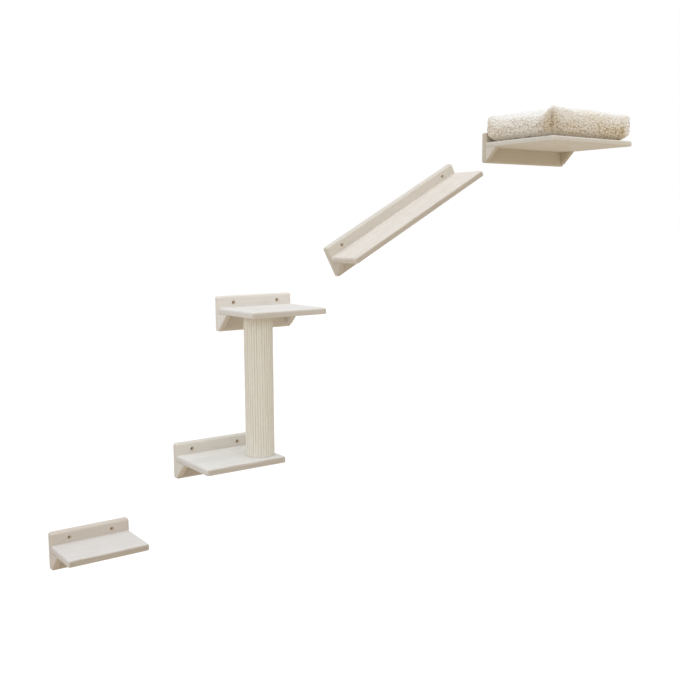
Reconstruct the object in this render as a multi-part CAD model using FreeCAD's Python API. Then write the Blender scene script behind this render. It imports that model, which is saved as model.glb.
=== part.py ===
# Climbing set for a cat, screwed to a wall: a low step, two small shelves with a scratching
# post between them, a sloping ramp, and a bed shelf with a loose cushion. Every unit is made
# alike: a back plate on the wall, a board in front of it, and a gusset under each end.
# Sizes are millimetres. X runs along the wall to the right, Y goes into the wall, Z is up.
# The origin is on the wall, behind the middle of the low step's back plate.

import FreeCAD, Part
import math
import os

# Boards, shared by every unit
board_thickness = 18.0
plate_height = 102.0
shelf_drop = 33.0
edge_round = 7.0
plate_corner = 7.0
shelf_corner = 7.0
shelf_under_ease = 2.0

# Gussets
gusset_run = 48.0
gusset_toe = 5.0
gusset_nose = 1.5
gusset_lift = 1.0
gusset_round = 5.0

# Lengths along the wall, and how far each board stands out from its plate
low_step_length = 217.0
low_step_depth = 136.0
post_shelf_length = 246.0
post_shelf_depth = 190.0
ramp_length = 585.0
ramp_depth = 130.0
ramp_slope_deg = 28.1
bed_length = 402.0
bed_depth = 300.0

# Where the units hang: lower left corner of each plate, from that of the low step
post_base_across = 362.5
post_base_up = 186.5
ramp_across = 928.5
ramp_up = 737.5
bed_across = 1553.5
bed_up = 1111.0

# Holes for the wall screws
wall_hole_radius = 3.0
wall_mouth_radius = 6.0
wall_hole_drop = 20.0
wall_hole_inset = 50.0
ramp_hole_inset = 58.0

# Screws through each plate into the back edge of its board; the gussets are glued
joint_shank_radius = 2.0
joint_head_radius = 4.0
joint_head_depth = 0.5
joint_hole_clearance = 0.1
joint_hole_spare = 1.0
joint_screw_length = 50.0
joint_screw_inset = 40.0
step_screw_count = 2
ramp_screw_count = 3
bed_screw_count = 2

# Scratching post
post_length = 392.0
post_radius = 39.0
post_from_base_end = 48.0
post_from_head_end = 55.0
post_from_front = 61.0
rib_count = 34
rib_height = 1.3
wrap_thickness = 4.0
core_wall = 5.0
core_clearance = 0.1
plug_length = 24.0
post_screw_radius = 3.0
post_screw_length = 46.0
post_head_radius = 6.5
post_head_depth = 0.6

# Cushion: it covers the bed's board, less a small gap on each side
cushion_end_gap = 3.0
cushion_front_gap = 2.5
cushion_back_gap = 1.5
cushion_rest_gap = 0.3
cushion_height = 93.0
cushion_corner = 30.0
cushion_draw = 7.0
crown_rise_along = 8.0
crown_rise_across = 8.0

# How the cushion's outline shrinks with height: height, and inset from the widest outline,
# as shares of the cushion's height and of half its depth. The crown cuts the last one off.
cushion_profile_shares = [
    (0.00, 0.165),
    (0.05, 0.095),
    (0.17, 0.035),
    (0.48, 0.000),
    (0.72, 0.020),
    (0.86, 0.085),
    (1.02, 0.260),
]

# Cuts run this far past the face that they leave
overrun = 1.0
tolerance = 0.001

out_folder = "parts"

# Worked out from the sizes above
shelf_top = plate_height - shelf_drop
shelf_under = shelf_top - board_thickness
gusset_low = edge_round + gusset_lift
core_radius = post_radius - wrap_thickness
core_bore = core_radius - core_wall
cushion_length = bed_length - 2 * cushion_end_gap
cushion_depth = bed_depth - cushion_front_gap - cushion_back_gap


def vec(x, y, z):
    return FreeCAD.Vector(x, y, z)


along_wall = vec(1, 0, 0)
into_wall = vec(0, 1, 0)
out_of_wall = vec(0, -1, 0)
upwards = vec(0, 0, 1)
downwards = vec(0, 0, -1)


def save(shape, node):
    os.makedirs(out_folder, exist_ok=True)
    shape.exportStep(os.path.join(out_folder, node + ".step"))
    solids = len(shape.Solids)
    print(node, "solids", solids, "volume cm3", round(shape.Volume / 1000, 2), "valid", shape.isValid())


# Every plate and board is drawn with its left end at X 0 and its plate's foot at Z 0,
# then moved to its place on the wall
class Unit:
    def __init__(self, name, length, depth, across, up, screw_count, slope_deg=0, hole_inset=wall_hole_inset):
        self.name = name
        self.length = length
        self.depth = depth
        self.screw_count = screw_count
        self.hole_inset = hole_inset
        corner = vec(across - low_step_length / 2, 0, up - plate_height / 2)
        self.placement = FreeCAD.Placement(corner, FreeCAD.Rotation(out_of_wall, slope_deg))

    def place(self, shape):
        moved = shape.copy()
        moved.Placement = self.placement.multiply(moved.Placement)
        return moved

    def point(self, x, y, z):
        return self.placement.multVec(vec(x, y, z))


def edges_on(shape, axis, level):
    low, high = axis + "Min", axis + "Max"
    found = []
    for edge in shape.Edges:
        box = edge.BoundBox
        if abs(getattr(box, low) - level) < tolerance and abs(getattr(box, high) - level) < tolerance:
            found.append(edge)
    return found


def without_plane(edges, axis, level):
    low, high = axis + "Min", axis + "Max"
    kept = []
    for edge in edges:
        box = edge.BoundBox
        inside = abs(getattr(box, low) - level) < tolerance and abs(getattr(box, high) - level) < tolerance
        if not inside:
            kept.append(edge)
    return kept


def countersunk_screw(head_point, direction, length, shank_radius, head_radius):
    """A screw as one turned solid, with the flat of its head at head_point."""
    taper = head_radius - shank_radius
    head = Part.makeCone(head_radius, shank_radius, taper, head_point, direction)
    shank = Part.makeCylinder(shank_radius, length - taper, head_point + direction * taper, direction)
    return head.fuse(shank)


def countersunk_hole(face_point, direction, depth, radius, mouth_radius):
    """The space of a hole that goes in at face_point, with a right-angled cone at its mouth."""
    mouth = face_point - direction * overrun
    bore = Part.makeCylinder(radius, depth + overrun, mouth, direction)
    outer = mouth_radius + overrun
    cone = Part.makeCone(outer, radius, outer - radius, mouth, direction)
    return bore.fuse(cone)


# Where the screws go, in a unit's own drawing position
def wall_hole_places(unit):
    height = plate_height - wall_hole_drop
    return [(unit.hole_inset, height), (unit.length - unit.hole_inset, height)]


def joint_screw_places(unit):
    span = unit.length - 2 * joint_screw_inset
    height = shelf_under + board_thickness / 2
    steps = unit.screw_count - 1
    return [(joint_screw_inset + span * i / steps, height) for i in range(unit.screw_count)]


def joint_screws(unit):
    screws = []
    for x, z in joint_screw_places(unit):
        screws.append(countersunk_screw(
            vec(x, -joint_head_depth, z), out_of_wall, joint_screw_length,
            joint_shank_radius, joint_head_radius))
    return Part.makeCompound(screws)


def pilot_holes(unit):
    radius = joint_shank_radius + joint_hole_clearance
    depth = joint_head_depth + joint_screw_length + joint_hole_spare
    return [Part.makeCylinder(radius, depth, vec(x, 0, z), out_of_wall)
            for x, z in joint_screw_places(unit)]


def plate_hole_spaces(unit):
    spaces = []
    through = board_thickness + overrun
    for x, z in wall_hole_places(unit):
        spaces.append(countersunk_hole(
            vec(x, -board_thickness, z), into_wall, through, wall_hole_radius, wall_mouth_radius))
    radius = joint_shank_radius + joint_hole_clearance
    mouth_radius = joint_head_radius + joint_head_depth + joint_hole_clearance
    for x, z in joint_screw_places(unit):
        spaces.append(countersunk_hole(vec(x, 0, z), out_of_wall, through, radius, mouth_radius))
    return spaces


# Back plate: rounded corners, a wide round on the front arris and a square edge at the wall
def back_plate(unit):
    plate = Part.makeBox(unit.length, board_thickness, plate_height, vec(0, -board_thickness, 0))
    corners = [e for e in plate.Edges if abs(e.BoundBox.YLength - board_thickness) < tolerance]
    plate = plate.makeFillet(plate_corner, corners)
    plate = plate.makeFillet(edge_round, edges_on(plate, "Y", -board_thickness))
    return plate.cut(plate_hole_spaces(unit))


# Shelf board: butts against the plate with a square back edge, rounded elsewhere
def shelf_board(unit):
    front = -board_thickness - unit.depth
    board = Part.makeBox(unit.length, unit.depth, board_thickness, vec(0, front, shelf_under))
    uprights = [e for e in edges_on(board, "Y", front) if e.BoundBox.ZLength > tolerance]
    board = board.makeFillet(shelf_corner, uprights)
    top = without_plane(edges_on(board, "Z", shelf_top), "Y", -board_thickness)
    board = board.makeFillet(edge_round, top)
    under = without_plane(edges_on(board, "Z", shelf_under), "Y", -board_thickness)
    board = board.makeChamfer(shelf_under_ease, under)
    return board.cut(pilot_holes(unit))


# Gusset: a triangle with a blunt toe, flush with the end of the board that it carries
def gusset(unit, left):
    start = 0 if left else unit.length - board_thickness
    back = -board_thickness
    outline = [
        vec(start, back, gusset_low),
        vec(start, back - gusset_toe, gusset_low),
        vec(start, back - gusset_run, shelf_under - gusset_nose),
        vec(start, back - gusset_run, shelf_under),
        vec(start, back, shelf_under),
    ]
    profile = Part.Face(Part.makePolygon(outline + [outline[0]]))
    block = profile.extrude(along_wall * board_thickness)
    sloping = []
    for edge in block.Edges:
        box = edge.BoundBox
        if box.XLength < tolerance < min(box.YLength, box.ZLength):
            sloping.append(edge)
    return block.makeFillet(gusset_round, sloping)


def build_unit(unit, shelf_cuts=()):
    save(unit.place(back_plate(unit)), unit.name + "_back_plate")
    board = unit.place(shelf_board(unit))
    if shelf_cuts:
        board = board.cut(list(shelf_cuts))
    save(board, unit.name + "_board")
    save(unit.place(gusset(unit, True)), unit.name + "_left_gusset")
    save(unit.place(gusset(unit, False)), unit.name + "_right_gusset")
    save(unit.place(joint_screws(unit)), unit.name + "_joint_screws")


# Scratching post: a core tube with a plug in each end, held by one screw through each board,
# inside a wrap with upright ribs
def rib_outline(height):
    """A closed outline of outward arcs, one for each rib, meeting in valleys."""
    valley = post_radius - rib_height
    pitch = 2 * math.pi / rib_count
    arcs = []
    for i in range(rib_count):
        start, middle, end = i * pitch, (i + 0.5) * pitch, (i + 1) * pitch
        arcs.append(Part.Arc(
            vec(valley * math.cos(start), valley * math.sin(start), height),
            vec(post_radius * math.cos(middle), post_radius * math.sin(middle), height),
            vec(valley * math.cos(end), valley * math.sin(end), height)).toShape())
    return Part.Wire(arcs)


def post_wrap(foot):
    outer = Part.Face(rib_outline(0)).extrude(upwards * post_length)
    bore = Part.makeCylinder(core_radius + core_clearance, post_length + 2 * overrun, vec(0, 0, -overrun))
    return outer.cut(bore).translated(foot)


def post_core(foot):
    tube = Part.makeCylinder(core_radius, post_length)
    bore = Part.makeCylinder(core_bore, post_length + 2 * overrun, vec(0, 0, -overrun))
    return tube.cut(bore).translated(foot)


def post_plug(foot):
    plug = Part.makeCylinder(core_bore - core_clearance, plug_length)
    pilot = Part.makeCylinder(
        post_screw_radius + joint_hole_clearance, plug_length + 2 * overrun, vec(0, 0, -overrun))
    return plug.cut(pilot).translated(foot)


def post_screw(face_point, direction):
    head_point = face_point + direction * post_head_depth
    return countersunk_screw(head_point, direction, post_screw_length, post_screw_radius, post_head_radius)


def post_screw_space(face_point, direction):
    mouth_radius = post_head_radius + post_head_depth + joint_hole_clearance
    return countersunk_hole(
        face_point, direction, board_thickness + overrun,
        post_screw_radius + joint_hole_clearance, mouth_radius)


def build_post(foot):
    head = foot + upwards * post_length
    below = foot + downwards * board_thickness
    above = head + upwards * board_thickness
    save(post_core(foot), "post_core_tube")
    save(post_wrap(foot), "post_wrap")
    save(post_plug(foot), "post_bottom_plug")
    save(post_plug(head + downwards * plug_length), "post_top_plug")
    save(post_screw(below, upwards), "post_bottom_screw")
    save(post_screw(above, downwards), "post_top_screw")


# Cushion: a loft through outlines whose sides draw in between the corners, under a crown
# that is arched both ways
def cushion_outline(inset, height):
    half_length = cushion_length / 2 - inset
    half_depth = cushion_depth / 2 - inset
    bend = cushion_corner * (1 - math.sqrt(0.5))
    straight_x = half_length - cushion_corner
    straight_y = half_depth - cushion_corner
    edges = []
    for sx, sy in ((1, -1), (1, 1), (-1, 1), (-1, -1)):
        side_end = vec(sx * half_length, sy * straight_y, height)
        face_end = vec(sx * straight_x, sy * half_depth, height)
        middle = vec(sx * (half_length - bend), sy * (half_depth - bend), height)
        first, last = (face_end, side_end) if sx * sy < 0 else (side_end, face_end)
        edges.append(Part.Arc(first, middle, last).toShape())
        if sx * sy < 0:
            far = vec(sx * half_length, -sy * straight_y, height)
            edges.append(Part.Arc(last, vec(sx * (half_length - cushion_draw), 0, height), far).toShape())
        else:
            far = vec(-sx * straight_x, sy * half_depth, height)
            edges.append(Part.Arc(last, vec(0, sy * (half_depth - cushion_draw), height), far).toShape())
    return Part.Wire(edges)


def arc_radius(span, rise):
    return (span * span / 4 + rise * rise) / (2 * rise)


def crown_barrel():
    """A barrel along X: an arc as long as the cushion, turned about an axis far below it."""
    radius_along = arc_radius(cushion_length, crown_rise_along)
    axis = vec(0, 0, cushion_height - arc_radius(cushion_depth, crown_rise_across))
    reach = cushion_length / 2 + overrun
    shoulder = cushion_height - radius_along + math.sqrt(radius_along ** 2 - reach ** 2)
    left, right = vec(-reach, 0, shoulder), vec(reach, 0, shoulder)
    left_foot, right_foot = vec(-reach, 0, axis.z), vec(reach, 0, axis.z)
    profile = Part.Wire([
        Part.LineSegment(left_foot, left).toShape(),
        Part.Arc(left, vec(0, 0, cushion_height), right).toShape(),
        Part.LineSegment(right, right_foot).toShape(),
        Part.LineSegment(right_foot, left_foot).toShape(),
    ])
    barrel = Part.Face(profile).revolve(axis, along_wall, 360)
    barrel.rotate(axis, along_wall, 180)
    return barrel


def cushion(centre):
    outlines = []
    for height_share, inset_share in cushion_profile_shares:
        outlines.append(cushion_outline(inset_share * cushion_depth / 2, height_share * cushion_height))
    body = Part.makeLoft(outlines, True, True)
    return body.common(crown_barrel()).translated(centre)


low_step = Unit("low_step", low_step_length, low_step_depth, 0, 0, step_screw_count)
post_base = Unit("post_base", post_shelf_length, post_shelf_depth,
                 post_base_across, post_base_up, step_screw_count)

# The post stands on the lower shelf, and the upper shelf hangs where the post meets it
post_x = post_base_across + post_shelf_length - post_from_base_end
post_y = -board_thickness - post_shelf_depth + post_from_front
post_head = Unit("post_head", post_shelf_length, post_shelf_depth, post_x - post_from_head_end,
                 post_base_up + shelf_top + post_length - shelf_under, step_screw_count)
post_foot = post_base.point(post_shelf_length - post_from_base_end, post_y, shelf_top)
post_top = post_foot + upwards * post_length

ramp = Unit("ramp", ramp_length, ramp_depth, ramp_across, ramp_up, ramp_screw_count,
            ramp_slope_deg, ramp_hole_inset)
bed = Unit("bed", bed_length, bed_depth, bed_across, bed_up, bed_screw_count)

build_unit(low_step)
build_unit(post_base, [post_screw_space(post_foot + downwards * board_thickness, upwards)])
build_unit(post_head, [post_screw_space(post_top + upwards * board_thickness, downwards)])
build_post(post_foot)
build_unit(ramp)
build_unit(bed)

cushion_middle = -board_thickness - cushion_back_gap - cushion_depth / 2
save(cushion(bed.point(bed_length / 2, cushion_middle, shelf_top + cushion_rest_gap)), "bed_cushion")
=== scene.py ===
# %% [markdown]
# # A climbing wall for a cat
# Four wooden units hang on a wall: a low step, two small shelves with a scratching post between
# them, a sloping ramp, and a bed shelf with a loose cushion of looped wool. The wooden pieces come
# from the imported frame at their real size. This script gives them their finish, and models what
# is soft or finely detailed: the ribbed wrap of the post, the cushion and the screws.
# Everything is in metres. X runs along the wall, Y goes into the wall, and Z is up.

# %% Load the frame
from math import cos, pi, radians, sin, tau

import bmesh
import bpy
import numpy as np
from mathutils import Matrix, Vector


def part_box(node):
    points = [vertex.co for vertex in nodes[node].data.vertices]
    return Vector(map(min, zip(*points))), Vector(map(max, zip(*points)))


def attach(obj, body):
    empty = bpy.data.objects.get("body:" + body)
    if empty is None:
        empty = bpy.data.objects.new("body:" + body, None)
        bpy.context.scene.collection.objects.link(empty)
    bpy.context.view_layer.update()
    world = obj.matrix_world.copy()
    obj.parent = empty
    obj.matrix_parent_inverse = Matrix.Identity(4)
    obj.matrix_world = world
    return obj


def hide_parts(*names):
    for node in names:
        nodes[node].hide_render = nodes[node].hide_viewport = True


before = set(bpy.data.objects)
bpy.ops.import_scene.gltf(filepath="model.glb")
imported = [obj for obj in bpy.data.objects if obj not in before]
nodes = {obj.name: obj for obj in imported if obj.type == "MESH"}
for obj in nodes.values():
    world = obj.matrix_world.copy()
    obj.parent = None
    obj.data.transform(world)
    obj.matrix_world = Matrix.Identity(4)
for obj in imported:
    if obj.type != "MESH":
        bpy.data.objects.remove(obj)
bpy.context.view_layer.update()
mm = 0.001

# %% [markdown]
# ## The camera
# The picture was taken from the left and slightly above, about 2.3 m from the wall, with a normal
# lens. A camera can be aimed by hand until the picture looks right, but fitting it to known
# corners is surer: these values come from such a fit, and the camera's three axes are then worked
# out from the turn, the tilt and the roll.

# %% Place the camera
picture_width_px = 680
focal_length_px = 902.4
sensor_width_mm = 36.0
camera_place = Vector((-0.8060, -2.3117, 0.8388))
camera_turn = radians(35.37)
camera_tilt = radians(7.08)
camera_roll = radians(-0.35)


def add_object(name, data):
    made = bpy.data.objects.new(name, data)
    bpy.context.scene.collection.objects.link(made)
    return made


def camera_matrix(place, turn, tilt, roll):
    """Looking along the wall's normal, turned to the right, tilted down, then rolled."""
    forward = Vector((sin(turn) * cos(tilt), cos(turn) * cos(tilt), -sin(tilt)))
    level_right = Vector((cos(turn), -sin(turn), 0))
    level_up = level_right.cross(forward)
    right = level_right * cos(roll) + level_up * sin(roll)
    up = level_up * cos(roll) - level_right * sin(roll)
    axes = Matrix((right, up, -forward)).transposed()
    return Matrix.Translation(place) @ axes.to_4x4()


camera = add_object("camera", bpy.data.cameras.new("camera"))
camera.data.sensor_width = sensor_width_mm
camera.data.lens = focal_length_px / picture_width_px * sensor_width_mm
camera.matrix_world = camera_matrix(camera_place, camera_turn, camera_tilt, camera_roll)
bpy.context.scene.camera = camera
print("lens:", round(camera.data.lens, 2), "mm")

# %% [markdown]
# ## Short ways to build a material
# A material is a graph of nodes. Written out in full, each node takes four or five lines, so
# this small class keeps the graph and adds a node in one line. An input can be a plain value or
# another node's output.

# %% The shader helper
class Shader:
    def __init__(self, tree):
        self.tree = tree
        tree.nodes.clear()

    def add(self, kind, inputs=None, **settings):
        made = self.tree.nodes.new("ShaderNode" + kind)
        for key, value in settings.items():
            setattr(made, key, value)
        for key, value in (inputs or {}).items():
            if isinstance(value, bpy.types.NodeSocket):
                self.tree.links.new(value, made.inputs[key])
            else:
                made.inputs[key].default_value = value
        return made

    def math(self, operation, a, b=0.0, clamp=False):
        return self.add("Math", {0: a, 1: b}, operation=operation, use_clamp=clamp).outputs[0]

    def plus(self, a, b):
        return self.math("ADD", a, b)

    def minus(self, a, b):
        return self.math("SUBTRACT", a, b)

    def times(self, a, b):
        return self.math("MULTIPLY", a, b)

    def less(self, value, share):
        """The value times one minus the share."""
        return self.times(value, self.minus(1.0, share))

    def swing(self, value, size):
        """From minus half the size to plus half of it, for a value from 0 to 1."""
        return self.times(self.minus(value, 0.5), size)

    def here(self):
        return self.add("TexCoord").outputs["Object"]

    def split(self, vector):
        return self.add("SeparateXYZ", {0: vector}).outputs

    def length(self, x, y, z=0.0):
        """The length of a step with these three sides."""
        step = self.add("CombineXYZ", {0: x, 1: y, 2: z}).outputs[0]
        return self.add("VectorMath", {0: step}, operation="LENGTH").outputs["Value"]

    def noise(self, vector, scale, detail=2.0, roughness=0.5):
        inputs = {"Vector": vector, "Scale": scale, "Detail": detail, "Roughness": roughness}
        return self.add("TexNoise", inputs).outputs[0]

    def mix(self, factor, first, second, blend="MIX"):
        made = self.add("Mix", {0: factor, 6: first, 7: second}, data_type="RGBA", blend_type=blend)
        return made.outputs[2]

    def range(self, value, low, high, to_low=0.0, to_high=1.0, smooth=True):
        kind = "SMOOTHSTEP" if smooth else "LINEAR"
        inputs = {"Value": value, "From Min": low, "From Max": high, "To Min": to_low, "To Max": to_high}
        return self.add("MapRange", inputs, interpolation_type=kind).outputs[0]

    def bump(self, height, depth, strength):
        return self.add("Bump", {"Height": height, "Distance": depth, "Strength": strength}).outputs[0]

    def surface(self, inputs):
        shader = self.add("BsdfPrincipled", inputs)
        self.add("OutputMaterial", {"Surface": shader.outputs[0]})


def new_material(name):
    material = bpy.data.materials.new(name)
    material.use_nodes = True
    return material, Shader(material.node_tree)


# %% [markdown]
# ## A pale floor, a white background and soft light
# The set hangs in front of pure white. More light would bleach the wood, so the white comes from
# what the camera's rays find: the background is white only to them, and to rays that are
# mirrored or let through. The wood itself is lit by a soft sky, by two very wide suns, one
# overhead and a weaker one level from the left, and by the warm light that a pale wooden floor
# throws back up. Suns light the floor evenly, so it is as white as the background everywhere but
# in the set's shadow. The floor is the level on which a person stands, 40 cm below the low step.

# %% Build the stage
floor_level = -0.40
floor_half = 60.0
floor_glow = 0.66
floor_white = (0.40, 0.40, 0.40, 1)
floor_bounce = (0.64, 0.545, 0.42, 1)
sky_side = (0.67, 0.635, 0.595, 1)
sky_above = (0.60, 0.615, 0.64, 1)


def seen_by_camera(shader):
    """One for rays whose background should be white: seen, mirrored or let through."""
    path = shader.add("LightPath").outputs
    seen = shader.math("MAXIMUM", path["Is Camera Ray"], path["Is Glossy Ray"])
    return shader.math("MAXIMUM", seen, path["Is Transmission Ray"])


def new_mesh(name, points, faces):
    mesh = bpy.data.meshes.new(name)
    mesh.from_pydata(points, [], faces)
    mesh.update()
    return mesh


def make_floor():
    plan = ((-1, -1), (1, -1), (1, 1), (-1, 1))
    corners = [(x * floor_half, y * floor_half, floor_level) for x, y in plan]
    floor = add_object("floor", new_mesh("floor", corners, [(0, 1, 2, 3)]))
    material, s = new_material("floor")
    glow = s.add("Emission", {"Color": (1, 1, 1, 1), "Strength": floor_glow})
    shade = s.add("BsdfDiffuse", {"Color": floor_white})
    shown = s.add("AddShader", {0: glow.outputs[0], 1: shade.outputs[0]})
    bounce = s.add("BsdfDiffuse", {"Color": floor_bounce})
    both = s.add("MixShader", {0: seen_by_camera(s), 1: bounce.outputs[0], 2: shown.outputs[0]})
    s.add("OutputMaterial", {"Surface": both.outputs[0]})
    floor.data.materials.append(material)


def make_sky():
    world = bpy.data.worlds.new("sky")
    world.use_nodes = True
    bpy.context.scene.world = world
    s = Shader(world.node_tree)
    direction = s.add("TexCoord").outputs["Generated"]
    colour = s.mix(s.range(s.split(direction)["Z"], -0.1, 0.9), sky_side, sky_above)
    light = s.add("Background", {"Color": colour})
    white = s.add("Background", {"Color": (1, 1, 1, 1)})
    both = s.add("MixShader", {0: seen_by_camera(s), 1: light.outputs[0], 2: white.outputs[0]})
    s.add("OutputWorld", {"Surface": both.outputs[0]})


def make_sun(name, comes_from, wide_deg, strength, colour):
    """A wide sun: its strength over pi is what it adds to a white surface that faces it."""
    data = bpy.data.lights.new(name, "SUN")
    data.angle, data.energy, data.color = radians(wide_deg), strength, colour
    sun = add_object(name, data)
    sun.rotation_euler = (-Vector(comes_from)).to_track_quat("-Z", "Y").to_euler()


make_floor()
make_sky()
make_sun("overhead", comes_from=(-0.15, -0.25, 1.0), wide_deg=100, strength=1.50, colour=(0.98, 0.985, 1.0))
make_sun("left", comes_from=(-1.0, -0.25, -0.05), wide_deg=80, strength=0.60, colour=(0.97, 0.97, 1.0))
bpy.context.scene.view_settings.view_transform = "Standard"
print("floor at", floor_level, "m, lamps:", len(bpy.data.lights))

# %% [markdown]
# ## The grain of softwood
# The boards are glued softwood panels. An image of wood would repeat and stretch over the edges,
# so the grain is solid instead: rings round a pith that lies outside each stave, in the
# coordinates of the object itself. A cut through such rings gives straight lines on a face and
# arcs on the end grain by itself. The coordinates are first turned so that the fibres run along
# the board, which on the ramp is uphill and in the gussets upright.

# %% Work out the grain
stave_width = 62 * mm
ring_width = 2.9 * mm
ring_bend = 30 * mm
ring_ripple = 2.2 * mm
pith_aside = 160 * mm
pith_depth = 35 * mm
pith_depth_spread = 110 * mm
plate_thickness = 18 * mm
ramp_slope = radians(28.1)


def grain_place(s, turn):
    """Coordinates turned about Y, so that the first runs along the fibres."""
    return s.add("Mapping", {"Vector": s.here(), "Rotation": (0, turn, 0)}).outputs[0]


def scaled_noise(s, place, scale, size, detail, roughness=0.5):
    """Noise that is drawn out along the fibres by unequal scales."""
    stretched = s.add("Mapping", {"Vector": place, "Scale": scale}).outputs[0]
    return s.noise(stretched, size, detail, roughness)


def late_wood(s, place, seed):
    """How far a point is into the dark end of its ring, and three random draws for its stave.

    The ring is the fraction of the distance to the pith over the ring width. The distance is
    bent by slow noise, and each stave has its pith somewhere else."""
    _, across, through = s.split(place)
    number = s.math("FLOOR", s.math("DIVIDE", s.plus(across, plate_thickness), stave_width))
    key = s.add("CombineXYZ", {0: number, 1: float(seed), 2: 0.5}).outputs[0]
    chance = s.add("TexWhiteNoise", {"Vector": key}, noise_dimensions="3D")
    draws = s.add("SeparateColor", {0: chance.outputs["Color"]}).outputs
    bend = s.swing(scaled_noise(s, place, (1.1, 7, 7), 1.6, 2.0), ring_bend)
    ripple = s.swing(scaled_noise(s, place, (9, 60, 60), 1.5, 1.0), ring_ripple)
    sideways = s.plus(across, s.swing(draws[0], pith_aside))
    deep = s.plus(through, s.plus(pith_depth, s.times(draws[1], pith_depth_spread)))
    distance = s.length(sideways, s.plus(deep, bend))
    year = s.math("FRACT", s.math("DIVIDE", s.plus(distance, ripple), ring_width))
    late = s.times(s.range(year, 0.52, 0.93), s.range(year, 1.0, 0.94))
    return late, draws


print("rings across a stave:", round(stave_width / ring_width))

# %% [markdown]
# ## The white wash
# A thin white wash lies over the grain. The soft early wood has drunk it, and the hard late wood
# still shows through as faint warm lines. It could be one mixed colour, but then every face would
# look printed. Here the wash is a cover that is brushed on unevenly. Painted shade takes some of
# the wash away: on the side faces of the boards, less on their ends, on the gussets' sawn slopes,
# and on the plates under the boards. The ends also get a painted cool tint, for the cool light
# from the side. The countersinks of the wall screws are bare, because they are drilled later.
# Each unit took the wash differently, so each has its own whites; the bed's plate and right
# gusset get darker, warmer whites, which paint the shade under its board.

# %% Work out where the wash is thin
bare_pale = (0.52, 0.475, 0.41, 1)
bare_dark = (0.42, 0.355, 0.28, 1)
bare_fibre = (0.385, 0.325, 0.255, 1)
drilled_pale = (0.55, 0.485, 0.375, 1)
drilled_dark = (0.60, 0.505, 0.385, 1)
thinnest_wash, thickest_wash = 0.795, 0.87
cloud_wash = 0.04
late_wood_bare = 0.095
end_shade_spared = 0.75
stave_dull_share = 0.965
end_cool_light_shares = (0.91, 0.93, 0.965)
hole_radius = 3.0 * mm
hole_mouth_radius = 6.0 * mm
mouth_fade = 0.5 * mm
bore_fade = (0.8 * mm, 0.2 * mm)
board_below_holes = 29 * mm
under_shade_fade = 4 * mm


def facing(s, axis):
    """How far the surface looks along an axis of the object, from -1 to 1."""
    return s.split(s.add("TexCoord").outputs["Normal"])[axis]


def end_share(s):
    """One on faces that look along the wall, the ends, which get a painted cool tint and less painted
    shade.
    """
    return s.range(s.math("ABSOLUTE", facing(s, "X")), 0.15, 0.85)


def wash_cover(s, place, late, edge_shade, slope_shade):
    """The share of wash over wood: brush streaks and clouds, less late wood, less painted shade on the
    boards' side faces and the sawn slopes.
    """
    brush = scaled_noise(s, place, (2.2, 95, 95), 1.0, 2.0, 0.55)
    cloud = s.noise(place, 14.0, 3.0, 0.55)
    streaks = s.range(brush, 0.3, 0.7, thinnest_wash, thickest_wash)
    cover = s.plus(streaks, s.range(cloud, 0.3, 0.7, -cloud_wash, cloud_wash))
    cover = s.minus(cover, s.times(late, late_wood_bare))
    # Painted shade: the boards' side faces, which don't look up or down, lose wash, less on the ends
    if edge_shade:
        edge = s.times(s.range(s.math("ABSOLUTE", facing(s, "Z")), 0.96, 0.40), edge_shade)
        edge = s.less(edge, s.times(end_share(s), end_shade_spared))
        cover = s.minus(cover, edge)
    # Painted shade on faces that look down and forward: the gussets' sawn slopes
    if slope_shade:
        cover = s.minus(cover, s.range(facing(s, "Z"), -0.30, -0.55, 0.0, slope_shade))
    return s.math("ADD", cover, 0.0, clamp=True)


def below_board(s, place, holes):
    """One on the plate's face under its board, by the height below the holes; none on its ends."""
    level = holes[2] - board_below_holes
    return s.less(s.range(s.split(place)["Z"], level, level - under_shade_fade), end_share(s))


def drilled(s, place, colour, holes):
    """Bare wood in the countersinks and a dark bore, by the distance to the nearer of two holes."""
    middle, half_spacing, height = holes
    along, _, up = s.split(place)
    sideways = s.minus(s.math("ABSOLUTE", s.minus(along, middle)), half_spacing)
    distance = s.length(sideways, s.minus(up, height))
    mouth = s.range(distance, hole_mouth_radius + mouth_fade, hole_mouth_radius)
    bore = s.range(distance, hole_radius + bore_fade[0], hole_radius + bore_fade[1])
    return s.mix(bore, s.mix(mouth, colour, drilled_pale), drilled_dark)


# %% Make the washed wood
def washed_wood(name, seed, wash, turn, edge_shade=0.0, slope_shade=0.0, holes=None, under_board_shade=0.0):
    """Grain, fine fibres and a cover of wash; the late wood and the fibres stand proud a little."""
    material, s = new_material(name)
    place = grain_place(s, turn)
    late, draws = late_wood(s, place, seed)
    fibre = scaled_noise(s, place, (7, 620, 620), 1.0, 3.0, 0.6)
    wood = s.mix(s.range(fibre, 0.35, 0.75), s.mix(late, bare_pale, bare_dark), bare_fibre)
    duller = [stave_dull_share * value for value in wash]
    # Painted light: the ends get a cooler, slightly darker copy of the wash, for the cool light from the
    # side
    cool_lit_wash = [share * value for share, value in zip(end_cool_light_shares, wash)]
    cover_colour = s.mix(end_share(s), s.mix(draws[2], (*wash, 1), (*duller, 1)), (*cool_lit_wash, 1))
    cover = wash_cover(s, place, late, edge_shade, slope_shade)
    # Painted shade: the plate's face under its board loses wash, by each unit's share
    if under_board_shade:
        cover = s.less(cover, s.times(below_board(s, place, holes), under_board_shade))
    colour = s.mix(cover, wood, cover_colour)
    if holes:
        colour = drilled(s, place, colour, holes)
    relief = s.plus(s.times(late, 0.5), s.times(fibre, 0.8))
    s.surface({"Base Color": colour, "Roughness": s.range(fibre, 0.2, 0.8, 0.60, 0.72, smooth=False),
               "Specular IOR Level": 0.28, "Normal": s.bump(relief, 0.18 * mm, 0.55)})
    return material


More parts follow.
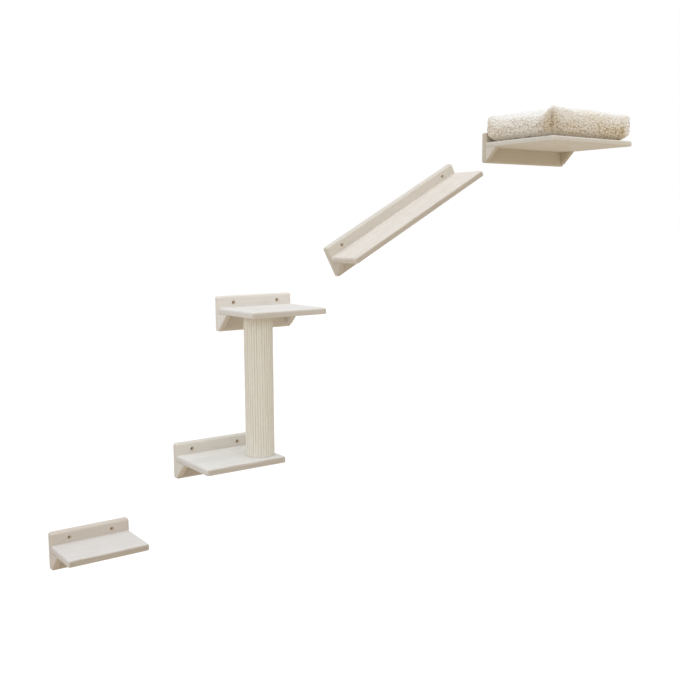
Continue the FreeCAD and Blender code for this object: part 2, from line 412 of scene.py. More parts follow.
# %% Finish the wooden units
plate_height = 102 * mm
hole_drop = 20 * mm
hole_inset = 50 * mm
ramp_hole_inset = 58 * mm
ramp_length = 585 * mm
# The painted shade on the gussets' sloping faces
gusset_slope_shade = 0.35
# The edge and under-board shares set how much painted shade each unit gets on its board's side faces and on
# its plate under the board
units = {
    "low_step": {"wash": (0.735, 0.715, 0.695), "plate_wash": (0.67, 0.61, 0.54), "edge_shade": 0.78,
                 "under_board_shade": 0.40},
    "post_base": {"wash": (0.785, 0.78, 0.745), "plate_wash": (0.76, 0.73, 0.67), "edge_shade": 0.60,
                  "under_board_shade": 0.62},
    "post_head": {"wash": (0.82, 0.81, 0.78), "plate_wash": (0.875, 0.835, 0.775), "edge_shade": 0.42,
                  "under_board_shade": 0.26, "gusset_washes": ((0.91, 0.895, 0.86), (0.91, 0.895, 0.86))},
    "ramp": {"wash": (0.82, 0.77, 0.70), "plate_wash": (0.735, 0.70, 0.63), "edge_shade": 0.60,
             "under_board_shade": 0.30},
    # On the bed the plate's wash and the right gusset's are darker and warmer: painted shade under the
    # board, where both are seen
    "bed": {"wash": (0.745, 0.715, 0.645), "plate_wash": (0.65, 0.60, 0.505), "edge_shade": 0.10,
            "under_board_shade": 0.0, "gusset_washes": ((0.80, 0.755, 0.68), (0.66, 0.585, 0.46))},
}


def dress(node, material):
    slots = nodes[node].data.materials
    slots.clear()
    slots.append(material)


def plate_lie(unit):
    """The middle of a unit's back plate, its length and its slope."""
    low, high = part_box(unit + "_back_plate")
    length, slope = (ramp_length, ramp_slope) if unit == "ramp" else (high.x - low.x, 0.0)
    return (low + high) / 2, length, slope


def wall_holes(unit):
    """The middle of a plate's two holes along the grain, half their spacing, and their height."""
    centre, length, slope = plate_lie(unit)
    along = centre.x * cos(slope) + centre.z * sin(slope)
    up = centre.z * cos(slope) - centre.x * sin(slope)
    inset = ramp_hole_inset if unit == "ramp" else hole_inset
    return along, length / 2 - inset, up + plate_height / 2 - hole_drop


def dress_unit(unit, number, look):
    turn = plate_lie(unit)[2]
    seed = 3 * number
    board_wood = washed_wood(unit + "_board_wood", seed, look["wash"], turn, look["edge_shade"])
    plate_wood = washed_wood(unit + "_plate_wood", seed + 1, look["plate_wash"], turn,
                             holes=wall_holes(unit), under_board_shade=look["under_board_shade"])
    dress(unit + "_board", board_wood)
    dress(unit + "_back_plate", plate_wood)
    gusset_washes = look.get("gusset_washes", 2 * [look["plate_wash"]])
    for side, wash in zip(("left", "right"), gusset_washes):
        gusset = f"{unit}_{side}_gusset"
        upright = turn + pi / 2
        dress(gusset, washed_wood(gusset + "_wood", seed + 2, wash, upright, slope_shade=gusset_slope_shade))


for number, (unit, look) in enumerate(units.items()):
    dress_unit(unit, number, look)
    print(unit, "wall holes at", [round(value, 4) for value in wall_holes(unit)])

# %% [markdown]
# ## The post's core
# Inside the wrap is a tube wound from strips of grey-brown paper board, closed by two turned
# plugs. They are hidden once the set is built, but show when it is taken apart, so each gets its
# own plain finish: a spiral seam on the tube, and the same kind of rings, bare, on the plugs.

# %% Finish the core tube and the plugs
tube_low, tube_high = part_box("post_core_tube")
post_x = (tube_low.x + tube_high.x) / 2
post_y = (tube_low.y + tube_high.y) / 2
winding_pitch = 90 * mm
plug_pith_x, plug_pith_y = 30 * mm, 20 * mm


def paper_board(name):
    """A spiral seam: the height, plus the pitch times the share of a turn, repeats along the tube."""
    material, s = new_material(name)
    here = s.here()
    x, y, z = s.split(here)
    angle = s.math("ARCTAN2", s.minus(y, post_y), s.minus(x, post_x))
    turns = s.plus(s.math("DIVIDE", z, winding_pitch), s.math("DIVIDE", angle, tau))
    seam = s.range(s.math("ABSOLUTE", s.minus(s.math("FRACT", turns), 0.5)), 0.475, 0.5)
    pulp = s.noise(here, 700.0, 4.0, 0.7)
    colour = s.mix(pulp, (0.30, 0.215, 0.14, 1), (0.42, 0.32, 0.22, 1))
    colour = s.mix(s.times(seam, 0.6), colour, (0.17, 0.115, 0.07, 1))
    s.surface({"Base Color": colour, "Roughness": 0.9,
               "Normal": s.bump(s.minus(pulp, seam), 0.3 * mm, 0.5)})
    return material


def bare_plug(name):
    """Rings round a pith beside the plug's middle, which change a little with the height."""
    material, s = new_material(name)
    here = s.here()
    x, y, z = s.split(here)
    from_x, from_y = s.minus(x, post_x - plug_pith_x), s.minus(y, post_y - plug_pith_y)
    radius = s.length(from_x, from_y, s.times(z, 0.05))
    year = s.math("FRACT", s.math("DIVIDE", radius, ring_width))
    colour = s.mix(s.range(year, 0.5, 0.95), (0.62, 0.46, 0.28, 1), (0.43, 0.27, 0.13, 1))
    colour = s.mix(s.times(s.noise(here, 900.0), 0.3), colour, (0.35, 0.22, 0.11, 1))
    s.surface({"Base Color": colour, "Roughness": 0.7, "Normal": s.bump(year, 0.1 * mm, 0.4)})
    return material


dress("post_core_tube", paper_board("paper_board"))
plug_wood = bare_plug("plug_wood")
dress("post_bottom_plug", plug_wood)
dress("post_top_plug", plug_wood)
print("post axis:", round(post_x, 4), round(post_y, 4))

# %% [markdown]
# ## Surfaces on a grid
# Every new piece here is a surface of two parameters. The points are worked out as one array,
# rows by columns, and these helpers turn such arrays into a mesh. The columns close into a ring,
# and the first and last row are each closed with a fan to a middle point.

# %% The mesh helper
def grid_faces(rows, columns, first):
    """Quads between neighbouring rows and columns of a ring, and a fan of triangles at each end."""
    index = first + np.arange(rows * columns).reshape(rows, columns)
    beside = np.roll(index, -1, axis=1)
    quads = np.stack([index[:-1], beside[:-1], beside[1:], index[1:]], -1).reshape(-1, 4)
    centre = np.full(columns, first + rows * columns)
    start = np.stack([centre, beside[0], index[0]], -1)
    end = np.stack([index[-1], beside[-1], centre + 1], -1)
    return quads.tolist() + start.tolist() + end.tolist()


def grid_mesh(name, grids):
    """One mesh from several grids, each followed by the middle points of its first and last row."""
    points, faces, first = [], [], 0
    for grid in grids:
        rows, columns = grid.shape[:2]
        points += [grid.reshape(-1, 3), grid[0].mean(0)[None], grid[-1].mean(0)[None]]
        faces += grid_faces(rows, columns, first)
        first += rows * columns + 2
    return new_mesh(name, np.concatenate(points).tolist(), faces)


def add_piece(name, mesh, material):
    piece = add_object(name, mesh)
    mesh.materials.append(material)
    mesh.shade_smooth()
    return piece


def smooth_noise(x, y, seed, waves=6):
    """A sum of sines with seeded directions and phases: smooth, and the same at each run."""
    rng = np.random.default_rng(seed)
    total = np.zeros(np.broadcast(x, y).shape)
    for _ in range(waves):
        a, b, phase = rng.uniform(-1, 1), rng.uniform(-1, 1), rng.uniform(0, tau)
        total = total + np.sin(a * x + b * y + phase)
    return total / waves


def bell(away, width):
    """One where the distance is zero, falling off as e to minus its square in widths."""
    return np.exp(-(away / width) ** 2)


def rise(value, start, end):
    """From 0 at the start to 1 at the end in a straight line, and level outside them."""
    return np.clip((value - start) / (end - start), 0, 1)


# %% [markdown]
# ## The ribbed wrap
# The post is covered with a corded cloth, its thick cords upright. From a step away the ribs
# are what shows, and close up each cord is bound by fine cross threads. The ribs are geometry:
# the radius is a row of rounded cords with sharp valleys, and the cords wander a little and
# swell and thin along their length, as woven ones do. Painted shade darkens the valleys. The
# cross threads are finer than the mesh could hold, so they are bump and colour, with painted
# shade between them, placed by the surface's own UV map. The cords are loosely laid and stand a
# little proud of the imported solid, which has the size of the firm cloth.

# %% Shape the wrap
rib_count = 34
columns_per_rib = 8
wrap_rows = 236
rib_height = 1.9 * mm
rib_wander = 0.06
rib_swell = 0.22 * mm
rib_settle = 0.25 * mm
cord_power = 0.65
wrap_seam_width = 3.2 * mm
wrap_seam_depth = 1.1 * mm
wrap_clearance = 0.15 * mm
cords_proud = 1.8 * mm
thread_pitch = 1.7 * mm

wrap_low, wrap_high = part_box("post_wrap")
wrap_radius = (wrap_high.x - wrap_low.x) / 2 + cords_proud
wrap_inner = (tube_high.x - tube_low.x) / 2
wrap_length = wrap_high.z - wrap_low.z


def wrap_surface():
    """Radius = outer radius, less a valley where the sine across a cord is small, plus the swell.

    The valley's depth differs from rib to rib, and a shallow groove marks the seam at the back."""
    columns = rib_count * columns_per_rib
    turn = np.arange(columns) / columns * tau
    height = np.linspace(0, wrap_length, wrap_rows)
    theta, z = np.meshgrid(turn, height)
    wander = rib_wander * smooth_noise(theta * 3, z * 26, 5)
    share = (theta * rib_count / tau) % 1.0
    depth = 0.75 + 0.45 * smooth_noise(theta * 23, z * 9, 6)
    crown = 1 - depth * (1 - np.abs(np.sin(pi * share)) ** cord_power)
    swell = rib_swell * smooth_noise(theta * 17, z * 310, 9, 10)
    from_seam = (theta + pi / 2) % tau - pi
    seam = bell(from_seam * wrap_radius, wrap_seam_width / 2)
    radius = wrap_radius - rib_height * (1 - crown) + (swell - rib_settle) * crown - wrap_seam_depth * seam
    angle = theta + wander * tau / rib_count
    x, y = post_x + radius * np.cos(angle), post_y + radius * np.sin(angle)
    return np.stack([x, y, wrap_low.z + z], -1)


def wrap_shell():
    """The ribbed outside, turned in over both ends and back down the inside against the tube."""
    outside = wrap_surface()
    middle = np.array([post_x, post_y])
    plan = outside[:, :, :2] - middle
    plan = plan / np.linalg.norm(plan, axis=-1, keepdims=True)
    rims = outside[[-1, 0]]
    rims[:, :, :2] = middle + plan[[-1, 0]] * (wrap_inner + wrap_clearance)
    return np.concatenate([outside, rims, outside[:1]])


def closed_ring_mesh(name, shell, u_size, v_size):
    """Rows that come back to the first row: the last row is the first again, so it is merged.

    In the UV map, u rises to its size round the ring, with no jump back, and v over the rows."""
    rows, columns = shell.shape[0] - 1, shell.shape[1]
    index = np.arange(rows * columns).reshape(rows, columns)
    following = np.roll(index, -1, axis=0)
    quads = np.stack([index, np.roll(index, -1, 1), np.roll(following, -1, 1), following], -1)
    mesh = new_mesh(name, shell[:-1].reshape(-1, 3).tolist(), quads.reshape(-1, 4).tolist())
    column, row = np.meshgrid(np.arange(columns), np.arange(rows))
    u = np.stack([column, column + 1, column + 1, column], -1) / columns * u_size
    v = np.stack([row, row, row + 1, row + 1], -1) / rows * v_size
    layer = mesh.uv_layers.new(name="UVMap")
    layer.data.foreach_set("uv", np.stack([u, v], -1).astype(np.float32).ravel())
    return mesh


# %% Weave the wrap's cloth
def corded_cloth(name):
    """Streaks along the cords, painted shade in the valleys between them, and cross threads with painted
    shade between them; u counts the cords.
    """
    material, s = new_material(name)
    place = s.add("UVMap", uv_map="UVMap").outputs[0]
    u, v, _ = s.split(place)
    share = s.math("FRACT", u)
    crown = s.math("SINE", s.times(share, pi))
    number = s.math("FLOOR", u)
    chance = s.add("TexWhiteNoise", {"W": number}, noise_dimensions="1D").outputs["Value"]
    # Cross threads: neighbouring cords are bound half a thread apart
    stagger = s.times(s.math("MODULO", number, 2.0), 0.5)
    thread = s.math("FRACT", s.plus(s.math("DIVIDE", v, thread_pitch), stagger))
    thread = s.math("SINE", s.times(thread, pi))
    streak = scaled_noise(s, place, (1.6, 80, 1), 1.0, 3.0, 0.6)
    here = s.here()
    hair = s.noise(here, 1500.0, 3.0, 0.7)
    slub = s.range(s.noise(here, 160.0, 2.0), 0.62, 0.8)
    colour = s.mix(streak, (0.695, 0.68, 0.605, 1), (0.845, 0.84, 0.785, 1))
    colour = s.mix(s.times(chance, 0.35), colour, (0.76, 0.72, 0.62, 1))
    colour = s.mix(s.times(slub, 0.25), colour, (0.66, 0.59, 0.46, 1))
    # Painted shade in the valleys between the cords, less where they are closed
    closed = s.range(scaled_noise(s, place, (0.8, 6, 1), 1.0, 1.0), 0.35, 0.65, 0.45, 1.0)
    valley = s.times(s.range(crown, 0.55, 0.0), closed)
    colour = s.mix(valley, colour, (0.50, 0.445, 0.335, 1))
    # Painted shade between the cross threads
    gap = s.range(thread, 0.35, 0.0)
    colour = s.mix(s.times(gap, 0.18), colour, (0.58, 0.52, 0.40, 1))
    relief = s.plus(s.times(thread, crown), s.times(hair, 0.5))
    s.surface({"Base Color": colour, "Roughness": 0.88, "Specular IOR Level": 0.2,
               "Sheen Weight": 0.12, "Sheen Roughness": 0.5,
               "Normal": s.bump(relief, 0.35 * mm, 0.7)})
    return material


# %% Put the wrap on the post
wrap_mesh = closed_ring_mesh("corded_wrap", wrap_shell(), rib_count, wrap_length)
corded_wrap = add_piece("corded_wrap", wrap_mesh, corded_cloth("corded_cloth"))
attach(corded_wrap, "root")
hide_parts("post_wrap")
print("wrap triangles:", 2 * len(wrap_mesh.polygons))

# %% [markdown]
# ## The cushion's shape
# The cushion is a thick boxed pad in a looped-wool cover. Its sides stand nearly upright and pull
# in between the corners, its top is crowned, and it lies flat on the board. A smooth formula
# alone looks like moulded foam, so the formula only gives a slightly small starting form. That
# form is rebuilt as an even mesh and blown up as cloth under pressure, so that it tightens and
# relaxes as a filled cover does.

# %% Shape the starting form
cushion_low, cushion_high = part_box("bed_cushion")
cushion_size = cushion_high - cushion_low
cushion_middle = (cushion_low + cushion_high) / 2
cushion_aside = -4 * mm
cushion_x, cushion_y = cushion_middle.x + cushion_aside, cushion_middle.y
half_length, half_depth = cushion_size.x / 2, cushion_size.y / 2
start_inset = 6 * mm
corner_radius = 11 * mm
side_draw = 9 * mm
form_wider = 4 * mm
form_taller = 4.5 * mm
form_foot = 0.4 * start_inset
voxel = 5 * mm
most_swell = 5 * mm


def outline(half_x, half_y, draw, count=200):
    """Four corner arcs joined by straight sides, respaced evenly round the whole outline.

    Each side then moves in by the draw times one minus the square of its place along it."""
    corner = min(corner_radius, 0.95 * min(half_x, half_y))
    quarter = np.linspace(0, pi / 2, 12)
    arcs = []
    for number, (side_x, side_y) in enumerate(((1, 1), (-1, 1), (-1, -1), (1, -1))):
        angle = quarter + number * pi / 2
        arcs.append(np.stack([side_x * (half_x - corner) + corner * np.cos(angle),
                              side_y * (half_y - corner) + corner * np.sin(angle)], -1))
    line = np.concatenate(arcs + [arcs[0][:1]])
    run = np.concatenate([[0], np.cumsum(np.linalg.norm(np.diff(line, axis=0), axis=1))])
    wanted = np.linspace(0, run[-1], count + 1)[:-1]
    x, y = (np.interp(wanted, run, values) for values in line.T)
    share_x, share_y = np.abs(x) / half_x, np.abs(y) / half_y
    x = x - np.sign(x) * draw * (1 - share_y ** 2) * share_x ** 6
    y = y - np.sign(y) * draw * (1 - share_x ** 2) * share_y ** 6
    return x, y


def starting_form():
    """Rows go from the middle of the bottom, up the side, over the edge to the middle of the top.

    Each row has a share of the height, and an inset from the widest outline."""
    heights = [0, 0, 0.02, 0.07, 0.16, 0.32, 0.50, 0.68, 0.80, 0.88, 0.93, 0.96, 0.985, 1]
    insets = np.array([140, 40, 13, 7, 3, 0.5, 0, 0.5, 1.5, 4, 9, 20, 60, 140]) * mm
    half_x, half_y = half_length - start_inset + form_wider, half_depth - start_inset
    tall = cushion_size.z - start_inset + form_taller
    rows = []
    for height, inset in zip(heights, insets):
        x, y = outline(half_x - inset, half_y - inset, side_draw * (1 - inset / half_y))
        z = np.full_like(x, cushion_low.z + form_foot + height * tall)
        rows.append(np.stack([cushion_x + x, cushion_y + y, z], -1))
    return np.array(rows)


form = add_object("wool_cushion", grid_mesh("wool_cushion", [starting_form()]))
print("starting form:", len(form.data.vertices), "points")


# %% Fill the cover
def apply_modifiers(piece):
    depsgraph = bpy.context.evaluated_depsgraph_get()
    mesh = bpy.data.meshes.new_from_object(piece.evaluated_get(depsgraph))
    old = piece.data
    piece.modifiers.clear()
    piece.data = mesh
    bpy.data.meshes.remove(old)


def read_rows(values, key):
    """Three numbers for each item, as an array of rows."""
    found = np.empty(len(values) * 3, np.float32)
    values.foreach_get(key, found)
    return found.reshape(-1, 3).astype(float)


def coordinates(mesh):
    return read_rows(mesh.vertices, "co")


def normals(mesh):
    return read_rows(mesh.vertex_normals, "vector")


def set_coordinates(mesh, points):
    mesh.vertices.foreach_set("co", points.astype(np.float32).ravel())
    mesh.update()


def fill_cover(piece, pressure=4.0, frames=20):
    """Cloth with air pressure and no gravity; no point may move further than the cap."""
    before = coordinates(piece.data)
    cloth = piece.modifiers.new("cloth", "CLOTH")
    cloth.settings.use_pressure = True
    cloth.settings.uniform_pressure_force = pressure
    cloth.settings.effector_weights.gravity = 0
    cloth.point_cache.frame_start, cloth.point_cache.frame_end = 1, frames
    for number in range(1, frames + 1):
        bpy.context.scene.frame_set(number)
    apply_modifiers(piece)
    bpy.context.scene.frame_set(1)
    moved = coordinates(piece.data) - before
    length = np.linalg.norm(moved, axis=1, keepdims=True)
    moved *= np.minimum(1, most_swell / np.maximum(length, 1e-9))
    set_coordinates(piece.data, before + moved)
    print("cover swelled by up to", round(float(np.linalg.norm(moved, axis=1).max()) / mm, 1), "mm")


def refine(piece, times):
    for _ in range(times):
        finer = piece.modifiers.new("finer", "SUBSURF")
        finer.levels = finer.render_levels = 1
        apply_modifiers(piece)


remesh = form.modifiers.new("even", "REMESH")
remesh.mode, remesh.voxel_size = "VOXEL", voxel
apply_modifiers(form)
fill_cover(form)
refine(form, 2)
print("cushion points:", len(form.data.vertices))

# %% [markdown]
# ## How the cushion sits
# A pad that is used slumps between its corners: the corners keep the height that their seams give
# them, and stand out as small ears over the sunken ends. The simulation knows nothing of the
# years in between, so this is a formula on top of it: the closer a point is to an end and to the
# top, and the further it is from the corners, the more it sinks, and each corner is drawn out
# and up by a bell round it. The front left corner is plumped up into a broad peak, with a dip
# behind it.

# %% Let the ends slump and the corners stand out
end_slump = 16 * mm
slump_reach = 70 * mm
right_slump_share = 0.72
front_slump_share = 0.2
ear_reach = 38 * mm
ear_out = 14 * mm
ear_up = 14 * mm
ear_forward_share = 0.7
peak_ear_share = 0.35
peak_aside = 34 * mm
peak_reach = 80 * mm
peak_reach_back = 32 * mm
peak_up = 25 * mm
dip_back = 78 * mm
dip_reach = 42 * mm
dip_down = 9 * mm
dent_depth = 1.3 * mm


def place_in_cushion(points):
    """Shares from -1 to 1 along and across the cushion, and its height share from 0 to 1."""
    along = (points[:, 0] - cushion_x) / half_length
    across = (points[:, 1] - cushion_y) / half_depth
    height = np.clip((points[:, 2] - cushion_low.z) / cushion_size.z, 0, 1)
    return along, across, height


def front_left_quarter(along, across):
    return (along < 0) & (across < 0)


def slump(points):
    """Down by the slump, times the nearness to an end, one minus the eighth power of the share
    across, and the height squared.

    The right end sinks less, and the left end sinks more at its front."""
    along, across, height = place_in_cushion(points)
    from_end = np.clip(1 - np.abs(along), 0, None) * half_length
    sunken = bell(from_end, slump_reach) * (1 - np.clip(np.abs(across), 0, 1) ** 8)
    uneven = 1 + 0.3 * smooth_noise(points[:, 0] * 30, points[:, 1] * 30, 21)
    share = np.where(along > 0, right_slump_share, 1 - front_slump_share * across)
    points[:, 2] -= end_slump * sunken * uneven * share * height ** 2
    return points


def draw_corners_out(points):
    """Outwards and up by a bell of the distance to the corner; the foot stays where it is.

    The peak and the dip are bells from the front backwards, times one bell along the front."""
    along, across, height = place_in_cushion(points)
    corner = np.hypot((1 - np.abs(along)) * half_length, (1 - np.abs(across)) * half_depth)
    ear = bell(corner, ear_reach)
    out = ear * ear_out * rise(height, 0, 0.2)
    points[:, 0] += np.sign(along) * out
    points[:, 1] += np.sign(across) * out * ear_forward_share
    beside_peak = (1 + along) * half_length - peak_aside
    behind = (1 + across) * half_depth
    peak = peak_up * bell(behind, peak_reach_back) - dip_down * bell(behind - dip_back, dip_reach)
    peak = peak * bell(beside_peak, peak_reach)
    ear_share = np.where(front_left_quarter(along, across), peak_ear_share, 1.0)
    points[:, 2] += (ear_share * ear * ear_up + peak) * height ** 1.5
    return points


def crumple(points):
    """Soft dents along the normals, from sums of sines in two slanting directions."""
    x, y, z = points.T
    dents = smooth_noise(x * 70 + z * 60, y * 70 - z * 40, 22, 8)
    return points + normals(form.data) * (dent_depth * dents)[:, None]


for change in (slump, draw_corners_out, crumple):
    set_coordinates(form.data, change(coordinates(form.data)))
print("cushion top at", round(float(coordinates(form.data)[:, 2].max()), 4))

# %% [markdown]
# ## The looped wool
# The cover is a curly wool with tufts half a finger wide, pale at their tips, with painted shade in
# the gaps between. Hair or real yarn would be far too heavy to export, so the tufts are pushed out of
# the fine mesh: each point finds its nearest tuft centre on a jittered grid, and rises by how
# near it is. Each tuft has its own height, and a dimple in the middle where the loop curls back.
# The height is kept as an attribute, and the material paints shade into the gaps with it, less
# where painted light falls near the rim, on top and at the right end. Three more say where a warm
# tint is painted (on the front, deepening downwards, for warm light from the front, and as painted
# shade in the front left fold), where painted shade darkens it (low on every side and in the front
# left fold), and where a painted dark line shows (contact shadow at the foot, shade in the folds).

# %% Work out the tufts
tuft_pitch = 8.8 * mm
tuft_warp = 2.2 * mm
axis_factors = (73856093, 19349663, 83492791)
salt_factor = 2654435
scramble = ((13, 1274126177), (15, 668265263))
hash_mask = 0x7FFFFFFF
hash_steps = 65536


def hashed(cells, salt):
    """A number from 0 to 1 for each row of whole numbers: scrambled products, the same each run."""
    mixed = salt * salt_factor
    for axis, factor in enumerate(axis_factors):
        mixed = mixed ^ cells[:, axis] * factor
    for shift, factor in scramble:
        mixed = (mixed ^ (mixed >> shift)) * factor & hash_mask
    return (mixed % hash_steps) / hash_steps


def nearest_tufts(points):
    """Distance to the nearest and second nearest tuft, in pitches, and the nearest one's draw."""
    scaled = points / tuft_pitch
    cell = np.floor(scaled).astype(np.int64)
    first = np.full(len(points), np.inf)
    second = np.full(len(points), np.inf)
    draw = np.zeros(len(points))
    for step in np.ndindex(3, 3, 3):
        near = cell + np.array(step) - 1
        jitter = np.stack([hashed(near, salt) for salt in (1, 2, 3)], -1)
        distance = np.linalg.norm(near + 0.1 + 0.8 * jitter - scaled, axis=1)
        closer = distance < first
        second = np.where(closer, first, np.minimum(second, distance))
        draw = np.where(closer, hashed(near, 4), draw)
        first = np.where(closer, distance, first)
    return first, second, draw


def tuft_height(points):
    """Domes round the tuft centres, less a dimple, and how hollow it is between three or more tufts.

    The points are shaken first, so that no dome is round."""
    shaken = points.copy()
    for axis in range(3):
        one, two = points[:, (axis + 1) % 3], points[:, (axis + 2) % 3]
        shaken[:, axis] += tuft_warp * smooth_noise(one * 900, two * 900, 31 + axis, 5)
    first, second, draw = nearest_tufts(shaken)
    dome = np.sqrt(np.clip(1 - (first / 0.80) ** 2, 0, 1))
    gap = rise(second - first, 0, 0.30)
    dimple = bell(first, 0.17)
    pile = (0.35 + 0.65 * gap) * dome * (0.55 + 0.45 * draw) - 0.16 * dimple
    hollow = rise(first, 0.45, 0.85) + 0.12 * (1 - gap)
    return pile, np.clip(hollow, 0, 1)


# %% Fold the corners and colour the wool
fold_width = 46 * mm
fold_line = 7 * mm
fold_inset_x, fold_inset_y = 2 * mm, 4 * mm


def corner_fold(points, outwards, width):
    """One in the fold down each upright corner, falling off as a bell to both sides."""
    from_x = np.abs(points[:, 0] - cushion_x) - half_length + fold_inset_x
    from_y = np.abs(points[:, 1] - cushion_y) - half_depth + fold_inset_y
    side = np.clip(1.3 - 1.3 * np.abs(outwards[:, 2]), 0, 1)
    below_rim = rise(place_in_cushion(points)[2], 0.95, 0.73)
    return bell(np.hypot(from_x, from_y), width) * side * below_rim


def painted_warmth_mask(points, front, fold):
    """Painted warm light, rising on the front face downwards and towards the right, and painted shade,

    most in the front left fold, with a little more everywhere towards the bottom. One patch low on
    the right is warmer, and the right end of the front isn't tinted at all."""
    along, across, height = place_in_cushion(points)
    fold_shade_warmth = np.where(front_left_quarter(along, across), 0.9, 0.2) * fold
    to_right = rise(along, -1.1, 0.9)
    patch = 0.65 * bell(along - 0.70, 0.16) * bell(height - 0.25, 0.28)
    uneven = 0.30 * smooth_noise(points[:, 0] * 45, points[:, 2] * 60, 41)
    painted_warmth = front * (0.19 + (0.60 + 0.25 * to_right ** 2) * (1 - height) + patch + uneven)
    painted_warmth = painted_warmth * rise(along, 0.97, 0.85)
    return np.clip(np.maximum(painted_warmth, fold_shade_warmth) + 0.10 * (1 - height), 0, 1)


# %% Raise the pile
pile_depth = 4.8 * mm
fold_depth = 3 * mm
foot_shadow_reach = 12 * mm
plate_gap = 0.6 * mm


def keep_attribute(mesh, name, values):
    mesh.attributes.new(name, "FLOAT", "POINT").data.foreach_set("value", values.astype(np.float32))


def raise_pile(piece):
    """Out along the normals by the tufts, less the groove in each fold, then the four attributes.

    Painted light hides the painted shade in the gaps near the rim, on top and at the right end."""
    mesh = piece.data
    points, outwards = coordinates(mesh), normals(mesh)
    pile, hollow = tuft_height(points)
    fold = corner_fold(points, outwards, fold_width)
    groove = corner_fold(points, outwards, fold_line)
    # Underneath, the wool is pressed flat on the board, and at the back against the plate
    pressed = rise(-outwards[:, 2], 0.1875, 0.8125)
    lift = (pile_depth * pile - fold_depth * groove) * (1 - pressed)
    points = points + outwards * lift[:, None]
    points[:, 2] = np.maximum(points[:, 2], cushion_low.z)
    points[:, 1] = np.minimum(points[:, 1], -plate_thickness - plate_gap)
    set_coordinates(mesh, points)
    along, across, height = place_in_cushion(points)
    upwards = np.clip(outwards[:, 2] * 1.4 - 0.4, 0, 1)
    front_left = front_left_quarter(along, across)
    right_end = rise(along, 0.84, 0.94)
    # Painted light: the gaps' painted shade is lifted near the rim, on top and at the right end
    painted_top_light = 0.90 * rise(height, 0.45, 0.78) * (1 - upwards) + 0.55 * upwards
    painted_top_light = np.maximum(painted_top_light, 0.92 * right_end)
    # Painted shade, darker towards the bottom and in the folds, most in the front left one; none at the
    # right end
    lower_shade = np.clip(0.42 * (1 - height) ** 1.2 + np.where(front_left, 0.36, 0.05) * fold, 0, 1)
    lower_shade = lower_shade * (1 - right_end)
    keep_attribute(mesh, "tuft", np.clip(1 - hollow * (1 - painted_top_light), 0, 1))
    keep_attribute(mesh, "lower_shade", lower_shade)
    keep_attribute(mesh, "painted_warmth", painted_warmth_mask(points, rise(-outwards[:, 1], 0, 0.625), fold))
    # Painted shade kept in the seam attribute: a contact shadow at the foot and shade in the fold grooves
    foot = bell(points[:, 2] - cushion_low.z, foot_shadow_reach) * (1 - pressed)
    keep_attribute(mesh, "seam", np.maximum(foot, np.where(front_left, 0.35, 0.10) * groove))


# %% Make the wool and finish the cushion
def looped_wool(name):
    """Pale tips over painted shade in the gaps, with painted warm light, painted shade and a painted dark
    line where the attributes say so.
    """
    material, s = new_material(name)
    here = s.here()
    tuft, painted_warmth, lower_shade, seam = (s.add("Attribute", attribute_name=kept).outputs["Fac"]
                              for kept in ("tuft", "painted_warmth", "lower_shade", "seam"))
    curl = s.noise(here, 560.0, 3.0, 0.65)
    patch = s.noise(here, 45.0, 2.0)
    # Painted warm light on the front and painted shade in the front left fold tint the tips and the gaps
    tip = s.mix(painted_warmth, (0.945, 0.94, 0.925, 1), (0.90, 0.835, 0.70, 1))
    gap = s.mix(painted_warmth, (0.64, 0.595, 0.545, 1), (0.53, 0.41, 0.25, 1))
    # Painted shade in the gaps between the tufts
    colour = s.mix(s.range(tuft, 0.05, 0.95, smooth=False), gap, tip)
    colour = s.mix(s.range(curl, 0.35, 0.7, 0.0, 0.16), colour, gap)
    # Painted shade: the colour is multiplied darker towards the bottom and in the front left fold
    colour = s.mix(lower_shade, colour, (0.665, 0.61, 0.53, 1), "MULTIPLY")
    colour = s.mix(s.range(patch, 0.4, 0.75, 0.0, 0.15), colour, (0.74, 0.665, 0.53, 1))
    # A painted dark line: contact shadow at the foot and shade in the folds
    colour = s.mix(seam, colour, (0.17, 0.125, 0.08, 1))
    s.surface({"Base Color": colour, "Roughness": 0.95, "Specular IOR Level": 0.1,
               "Sheen Weight": 0.35, "Sheen Roughness": 0.5,
               "Normal": s.bump(curl, 1.0 * mm, 0.9)})
    return material


raise_pile(form)
form.data.materials.append(looped_wool("looped_wool"))
form.data.shade_smooth()
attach(form, "cushion")
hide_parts("bed_cushion")
print("cushion triangles:", 2 * len(form.data.polygons))

# %% [markdown]
# ## Screws
# The screws are zinc-plated steel with countersunk heads and a cross recess. Their heads show on
# the wall side of the plates and on the two post shelves, and their threads when a unit is taken
# apart. A screw could be lathed and its recess cut with a boolean, but one grid can hold it all:
# rings over the head, down the cone and along the shank. The recess is a depth over the head's
# rings, and the thread is a radius that rises and falls with the height less the turn.

# %% Shape the screws
screw_columns = 48
thread_step = 0.3 * mm


def cross_recess(u, v, half_width, reach, depth):
    """Deep where the smaller coordinate is within the arm's half width, the larger within its reach."""
    narrow, wide = np.minimum(np.abs(u), np.abs(v)), np.maximum(np.abs(u), np.abs(v))
    walls = rise(narrow, 1.175 * half_width, 0.825 * half_width)
    return depth * walls * rise(wide, reach, 0.7 * reach)


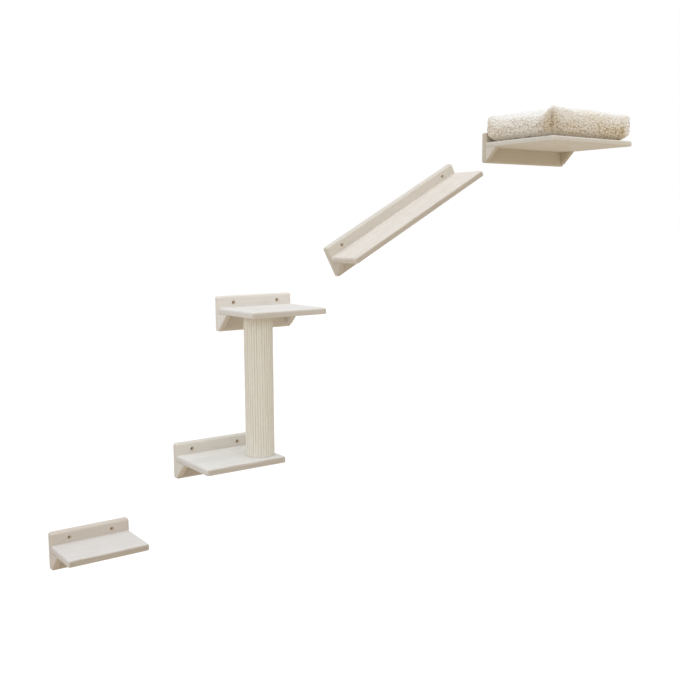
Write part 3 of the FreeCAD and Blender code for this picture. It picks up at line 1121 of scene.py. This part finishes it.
def screw_surface(length, shank, head):
    """Rows of rings: over the head, down its cone, along a plain neck and a thread, to the point."""
    taper, neck, point = head - shank, 3 * shank, 2.2 * shank
    pitch, core = 1.1 * shank, 0.72 * shank
    face = np.linspace(0.04, 0.96, 18) * head
    thread = np.arange(taper + neck, length, thread_step)[1:]
    radius = np.concatenate([face, [head, shank, shank], np.full(len(thread), core)])[:, None]
    drop = np.concatenate([np.zeros(len(face)), [0.05 * head, taper, taper + neck], thread])[:, None]
    turn = (np.arange(screw_columns) / screw_columns * tau)[None]
    ridge = np.abs(2 * ((drop / pitch - turn / tau) % 1.0) - 1) ** 1.5
    threaded = drop > taper + neck
    pointed = np.clip((length - drop) / point, 0.06, 1) ** threaded
    radius = (radius + threaded * ridge * (shank - core)) * pointed
    u, v = radius * np.cos(turn), radius * np.sin(turn)
    recess = cross_recess(u, v, 0.13 * head, 0.62 * head, 0.5 * taper)
    drop = drop + np.where(drop == 0, recess, 0)
    return u, v, drop


def placed_screw(head_point, direction, length, shank, head, turn_deg):
    """The screw's own coordinates, laid along three axes at the flat of its head."""
    direction = Vector(direction)
    side = direction.orthogonal().normalized()
    side.rotate(Matrix.Rotation(radians(turn_deg), 3, direction))
    axes = np.array([side, direction.cross(side), direction])
    return np.array(head_point) + np.stack(screw_surface(length, shank, head), -1) @ axes


def zinc(name):
    material, s = new_material(name)
    grain = s.noise(s.here(), 900.0, 3.0)
    colour = s.mix(grain, (0.50, 0.51, 0.53, 1), (0.66, 0.66, 0.67, 1))
    s.surface({"Base Color": colour, "Metallic": 1.0, "Roughness": s.range(grain, 0.2, 0.8, 0.28, 0.45),
               "Normal": s.bump(grain, 0.05 * mm, 0.4)})
    return material


screw_zinc = zinc("screw_zinc")


def add_screws(name, screws, node):
    mesh = grid_mesh(name, screws)
    outside = bmesh.new()
    outside.from_mesh(mesh)
    bmesh.ops.recalc_face_normals(outside, faces=outside.faces)
    outside.to_mesh(mesh)
    outside.free()
    piece = add_piece(name, mesh, screw_zinc)
    mesh.set_sharp_from_angle(angle=radians(35))
    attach(piece, "root")
    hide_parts(node)
    return 2 * len(mesh.polygons)


# %% Put the screws in their holes
joint_screw = {"length": 50 * mm, "shank": 2.0 * mm, "head": 4.0 * mm}
joint_head_depth = 0.5 * mm
joint_screw_inset = 40 * mm
joint_screw_height = 60 * mm
post_screw = {"length": 46 * mm, "shank": 3.0 * mm, "head": 6.5 * mm}
screw_counts = {"low_step": 2, "post_base": 2, "post_head": 2, "ramp": 3, "bed": 2}


def joint_screws(unit):
    """Evenly spaced along the plate, at the height of the middle of the board's back edge."""
    centre, length, slope = plate_lie(unit)
    along = Vector((cos(slope), 0, sin(slope)))
    up = Vector((-sin(slope), 0, cos(slope)))
    centre.y = -joint_head_depth
    places = np.linspace(joint_screw_inset, length - joint_screw_inset, screw_counts[unit])
    made = []
    for number, x in enumerate(places):
        head_point = centre + along * (float(x) - length / 2) + up * (joint_screw_height - plate_height / 2)
        made.append(placed_screw(head_point, (0, -1, 0), **joint_screw, turn_deg=20 + 55 * number))
    return made


total = 0
for unit in units:
    total += add_screws(unit + "_screws", joint_screws(unit), unit + "_joint_screws")
for end, side, down in (("bottom", 0, 1), ("top", 1, -1)):
    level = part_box(f"post_{end}_screw")[side].z
    screw = placed_screw((post_x, post_y, level), (0, 0, down), **post_screw, turn_deg=35)
    total += add_screws(f"post_{end}_cross_screw", [screw], f"post_{end}_screw")
print("screw triangles, at most:", total)
